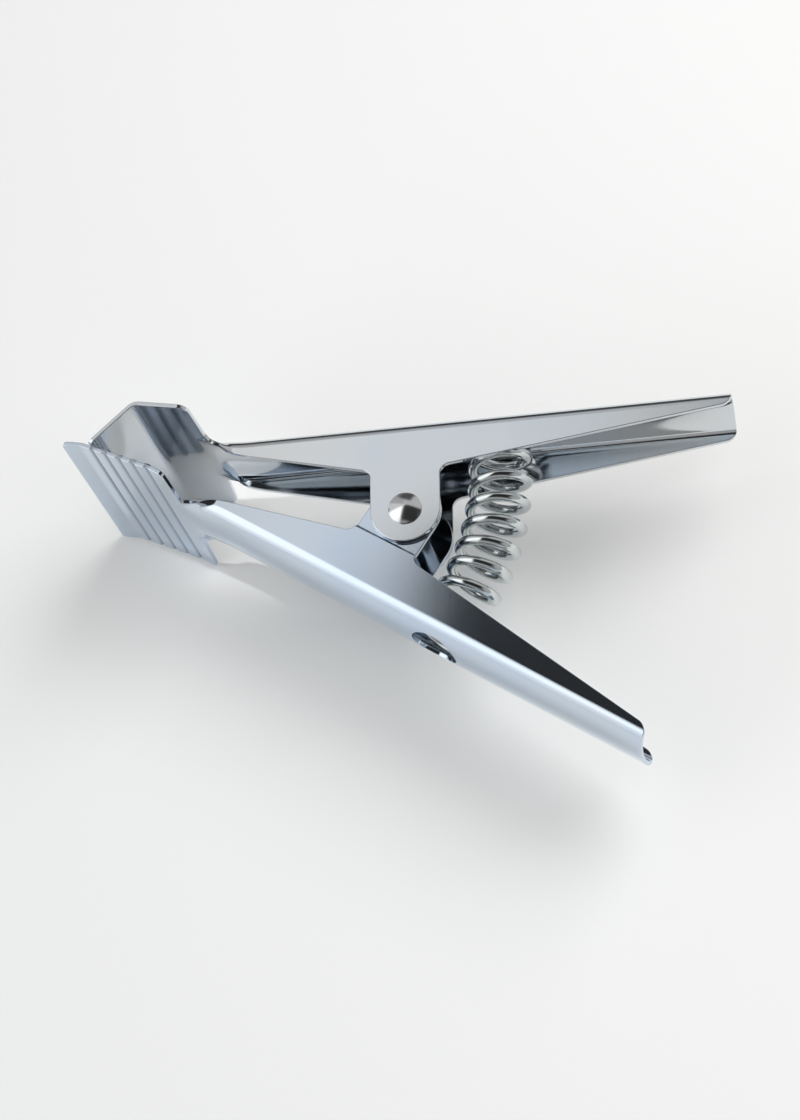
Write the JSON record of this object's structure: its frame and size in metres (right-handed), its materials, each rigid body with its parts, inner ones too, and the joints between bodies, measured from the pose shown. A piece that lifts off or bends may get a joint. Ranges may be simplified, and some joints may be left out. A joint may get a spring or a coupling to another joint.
{
  "type": "spring squeeze clamp",
  "caption": "Squeeze clamp of crossed sheet-steel channel arms on a rivet, with broad jaw plates that a coil spring between the handles holds shut.",
  "frame": {"origin": "bottom centre of the box that holds the clamp with its jaws shut; the clamp lies on the side edges of its jaw plates", "axes": "+X along the line that halves the two arms, towards the handles; +Y towards the arm with the folded hook jaw; +Z along the rivet's axis"},
  "size_m": [0.1391, 0.0846, 0.047],
  "materials": {
    "plated_sheet": "bright zinc plating, slightly blue, with soft reflections",
    "plated_rivet": "bright zinc plating, smooth",
    "spring_wire": "bright plated round wire"
  },
  "bodies": {
    "lower": {"lower_arm": "plated_sheet", "pivot_rivet": "plated_rivet", "spring": "spring_wire"},
    "upper": {"upper_arm": "plated_sheet"}
  },
  "joints": [
    {"name": "jaw_pivot", "type": "hinge", "parent": "lower", "child": "upper", "pos_m": [0.00613, 0, 0.0235], "axis": [0, 0, -1], "range_deg": [0, 60], "stiffness_Nm_per_rad": 1.5, "springref_deg": -45.84, "deforming": ["spring"]}
  ]
}
